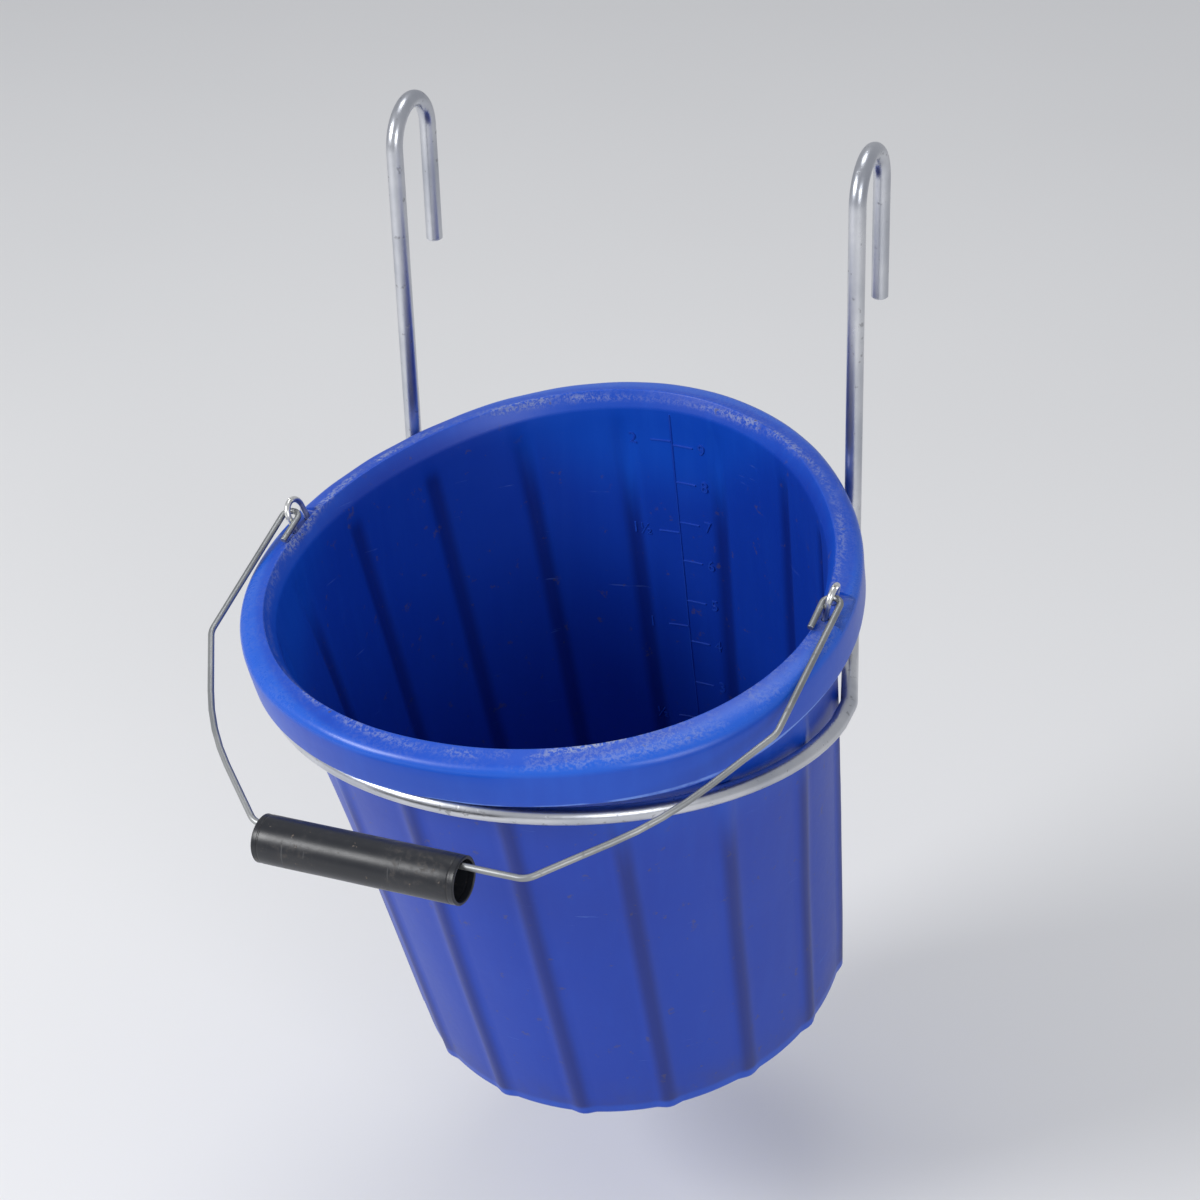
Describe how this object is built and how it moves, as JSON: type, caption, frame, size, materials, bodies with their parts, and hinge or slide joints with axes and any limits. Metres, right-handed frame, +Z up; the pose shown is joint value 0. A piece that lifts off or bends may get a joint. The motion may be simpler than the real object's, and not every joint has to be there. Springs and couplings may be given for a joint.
{
  "type": "feed bucket",
  "caption": "Blue ribbed polythene feed bucket with a wire bail and tubular hand grip, sitting in a bent rod holder that hooks over a rail.",
  "frame": {"origin": "midway between the inner crowns of the two hooks, where the holder hangs on a rail", "axes": "+Z up along the holder's uprights, -Y is the front, towards the grip, +X is to the right seen from the front"},
  "size_m": [0.2898, 0.3339, 0.4443],
  "materials": {
    "polythene": "satin",
    "staple_wire": "bright",
    "bail_wire": "galvanised",
    "holder_rod": "bright zinc",
    "grip": "satin"
  },
  "bodies": {
    "holder": {"holder_rod": "holder_rod"},
    "bucket": {"bucket_shell": "polythene", "ear_staple_left": "staple_wire", "ear_staple_right": "staple_wire"},
    "bail": {"bail_wire": "bail_wire"},
    "grip": {"grip_sleeve": "grip"}
  },
  "joints": [
    {"name": "bucket_lift", "type": "slide", "parent": "holder", "child": "bucket", "axis": [-0.0567, -0.1771, 0.9826], "range_m": [0, 0.25]},
    {"name": "bail_swing", "type": "hinge", "parent": "bucket", "child": "bail", "pos_m": [-0.00025, -0.1131, -0.16048], "axis": [-0.9969, 0.0644, -0.0459], "range_deg": [0, 147]},
    {"name": "grip_turn", "type": "hinge", "parent": "bail", "child": "grip", "pos_m": [-0.00861, -0.28202, -0.21599], "axis": [0.9969, -0.0644, 0.0459], "continuous": true}
  ]
}
